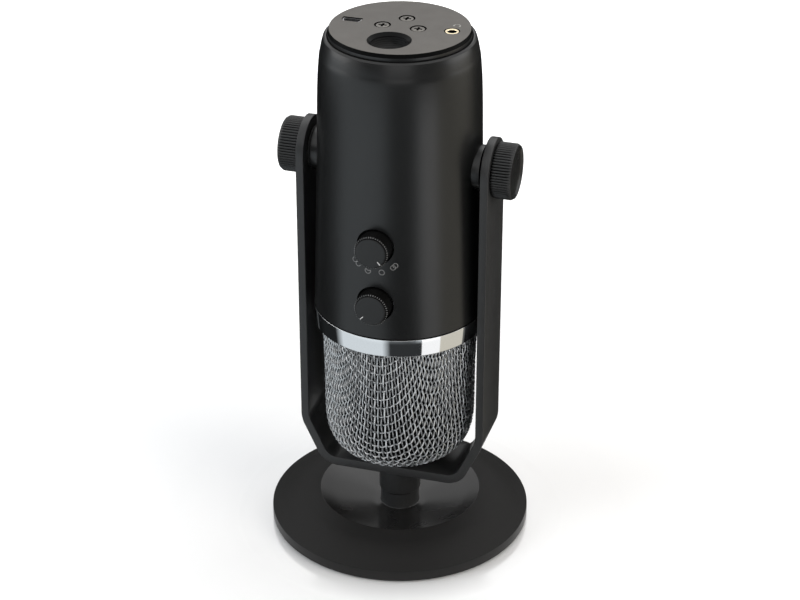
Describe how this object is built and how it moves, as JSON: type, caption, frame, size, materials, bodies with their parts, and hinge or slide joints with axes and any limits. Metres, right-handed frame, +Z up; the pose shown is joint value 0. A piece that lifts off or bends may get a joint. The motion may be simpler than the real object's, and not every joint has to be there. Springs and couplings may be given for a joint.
{
  "type": "desktop microphone",
  "caption": "Side-address desktop microphone with a wire-mesh grille and end sockets, hung upside down in a U-shaped yoke with knurled tilt screws on a round weighted base.",
  "frame": {"origin": "centre of the underside of the round base, on the surface that the foot pad rests on", "axes": "+Z up, X along the tilt axis, -Y towards the side with the pattern and gain knobs; the rest pose is the pictured one, with the microphone hanging grille down"},
  "size_m": [0.1124, 0.1124, 0.2294],
  "materials": {
    "stand_black": "satin",
    "housing_black": "satin",
    "plate_grey": "satin",
    "trim_chrome": "polished",
    "silver_wire": "satin",
    "control_black": "satin",
    "inner_plastic": "matte",
    "steel": "satin",
    "gold_plate": "gloss",
    "rubber": "matte",
    "foam": "matte",
    "circuit_board": "satin",
    "bare_aluminium": "satin"
  },
  "bodies": {
    "stand": {"base_plate": "stand_black", "foot_pad": "rubber", "bolt_washer": "steel", "base_bolt": "steel", "stem_collar": "stand_black", "yoke": "stand_black"},
    "microphone": {"housing": "housing_black", "end_plate": "plate_grey", "stand_thread_bush": "stand_black", "plate_screw_1": "plate_grey", "plate_screw_2": "plate_grey", "plate_screw_3": "plate_grey", "usb_socket": "steel", "headphone_jack": "inner_plastic", "jack_barrel": "gold_plate", "trim_ring": "trim_chrome", "grille": "silver_wire", "grille_liner": "foam", "bulkhead": "inner_plastic", "chassis_frame": "bare_aluminium", "main_board": "circuit_board", "front_control_board": "circuit_board", "rear_control_board": "circuit_board", "io_board": "circuit_board", "io_lead": "rubber", "capsule_lead": "rubber", "front_board_screw_1": "steel", "front_board_screw_2": "steel", "rear_board_screw_1": "steel", "rear_board_screw_2": "steel", "capsule_isolator": "rubber", "capsule_cradle": "inner_plastic", "capsule_1": "steel", "capsule_2": "steel", "capsule_3": "steel", "pattern_switch": "inner_plastic", "gain_pot": "inner_plastic", "volume_pot": "inner_plastic", "mute_switch": "inner_plastic", "pivot_boss_left": "stand_black", "pivot_boss_right": "stand_black", "friction_washer_left": "rubber", "friction_washer_right": "rubber"},
    "pattern_control": {"pattern_knob": "control_black", "pattern_shaft": "steel"},
    "gain_control": {"gain_knob": "control_black", "gain_shaft": "steel"},
    "volume_control": {"volume_knob": "control_black", "volume_shaft": "steel"},
    "mute_control": {"mute_button": "control_black"},
    "thumbscrew_left": {"thumb_stud_left": "steel", "thumb_knob_left": "control_black"},
    "thumbscrew_right": {"thumb_stud_right": "steel", "thumb_knob_right": "control_black"}
  },
  "joints": [
    {"name": "tilt", "type": "hinge", "parent": "stand", "child": "microphone", "pos_m": [0, 0, 0.1724], "axis": [1, 0, 0], "continuous": true},
    {"name": "pattern_turn", "type": "hinge", "parent": "microphone", "child": "pattern_control", "pos_m": [0, -0.036, 0.1481], "axis": [0, 1, 0], "range_deg": [0, 90]},
    {"name": "gain_turn", "type": "hinge", "parent": "microphone", "child": "gain_control", "pos_m": [0, -0.036, 0.1223], "axis": [0, 1, 0], "range_deg": [-195, 105]},
    {"name": "volume_turn", "type": "hinge", "parent": "microphone", "child": "volume_control", "pos_m": [0, 0.036, 0.1481], "axis": [0, -1, 0], "range_deg": [-150, 150]},
    {"name": "mute_press", "type": "slide", "parent": "microphone", "child": "mute_control", "axis": [0, -1, 0], "range_m": [0, 0.0008], "stiffness_N_per_m": 800, "springref_m": -0.0006},
    {"name": "thumbscrew_left_turn", "type": "hinge", "parent": "microphone", "child": "thumbscrew_left", "pos_m": [-0.045, 0, 0.1724], "axis": [-1, 0, 0], "range_deg": [0, 360]},
    {"name": "thumbscrew_right_turn", "type": "hinge", "parent": "microphone", "child": "thumbscrew_right", "pos_m": [0.045, 0, 0.1724], "axis": [1, 0, 0], "range_deg": [0, 360]}
  ]
}
